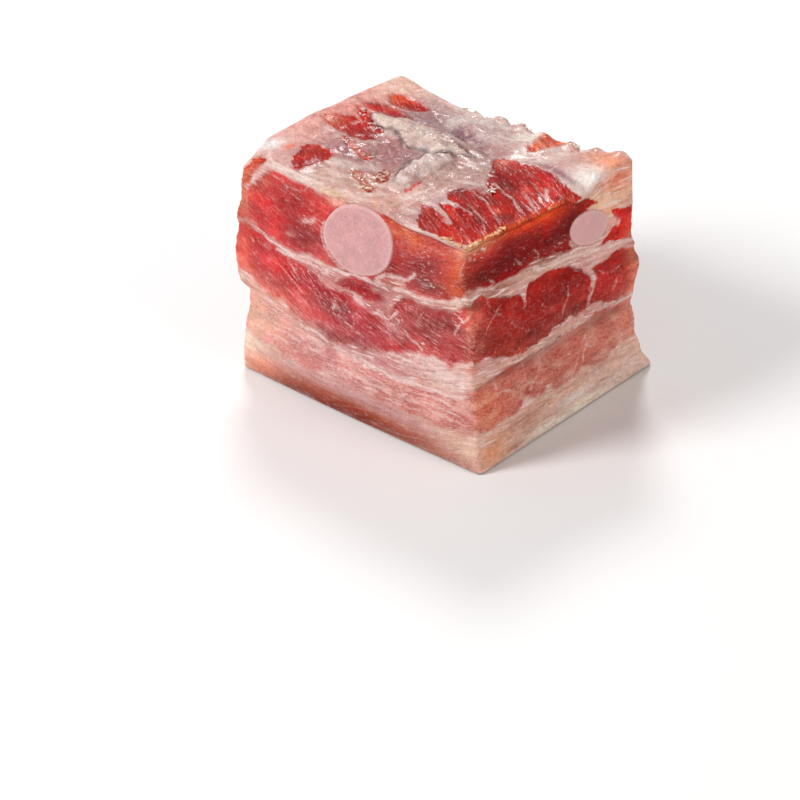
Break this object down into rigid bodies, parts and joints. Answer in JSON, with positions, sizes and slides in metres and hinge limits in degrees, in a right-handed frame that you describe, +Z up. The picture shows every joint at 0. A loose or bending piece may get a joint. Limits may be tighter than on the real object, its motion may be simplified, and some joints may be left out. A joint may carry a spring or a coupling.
{
  "type": "cured pork belly",
  "caption": "Square-cut block of cured pork belly, rind down, with layers of lean and fat and a gristly rib end that shows on two cuts.",
  "frame": {"origin": "middle of the block's box, on the rind it rests on", "axes": "+X along the long front cut from its left to its right, +Y from the front cut to the back, +Z up from the rind to the torn membrane on top"},
  "size_m": [0.067, 0.0526, 0.0486],
  "materials": {
    "cured_meat": "moist cut meat in layers: deep red to salmon lean, pinkish ivory fat, tan rind below, a soft wet gloss",
    "cartilage": "smooth pale pink gristle with a thin lighter rim, slightly wet"
  },
  "bodies": {
    "root": {"pork_belly": "cured_meat", "rib_cartilage": "cartilage"}
  },
  "joints": []
}
